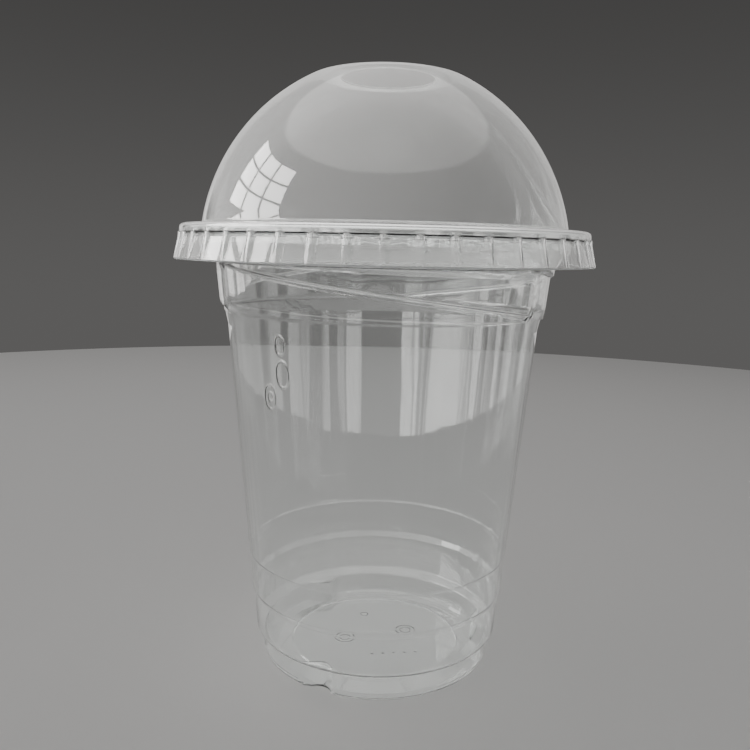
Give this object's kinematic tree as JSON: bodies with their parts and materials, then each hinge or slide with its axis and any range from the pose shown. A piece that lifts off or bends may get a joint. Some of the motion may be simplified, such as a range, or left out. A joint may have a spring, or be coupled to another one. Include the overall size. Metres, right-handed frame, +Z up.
{
  "type": "plastic cup with lid",
  "caption": "Clear thin-walled drink cup with a rolled rim and notched foot, under a push-fit dome lid with a round drinking hole and a ribbed skirt.",
  "frame": {"origin": "on the cup's axis, in the plane that the foot ring stands on", "axes": "+Z up the axis, from the foot to the lid; one foot notch lies about 27 degrees from -Y towards -X"},
  "size_m": [0.1022, 0.1022, 0.1458],
  "materials": {
    "cup_sheet": "clear, glossy",
    "lid_sheet": "clear, glossy"
  },
  "bodies": {
    "cup": {"cup": "cup_sheet"},
    "lid": {"dome_lid": "lid_sheet"}
  },
  "joints": [
    {"name": "lid_lift", "type": "slide", "parent": "cup", "child": "lid", "axis": [0, 0, 1], "range_m": [0, 0.06]}
  ]
}
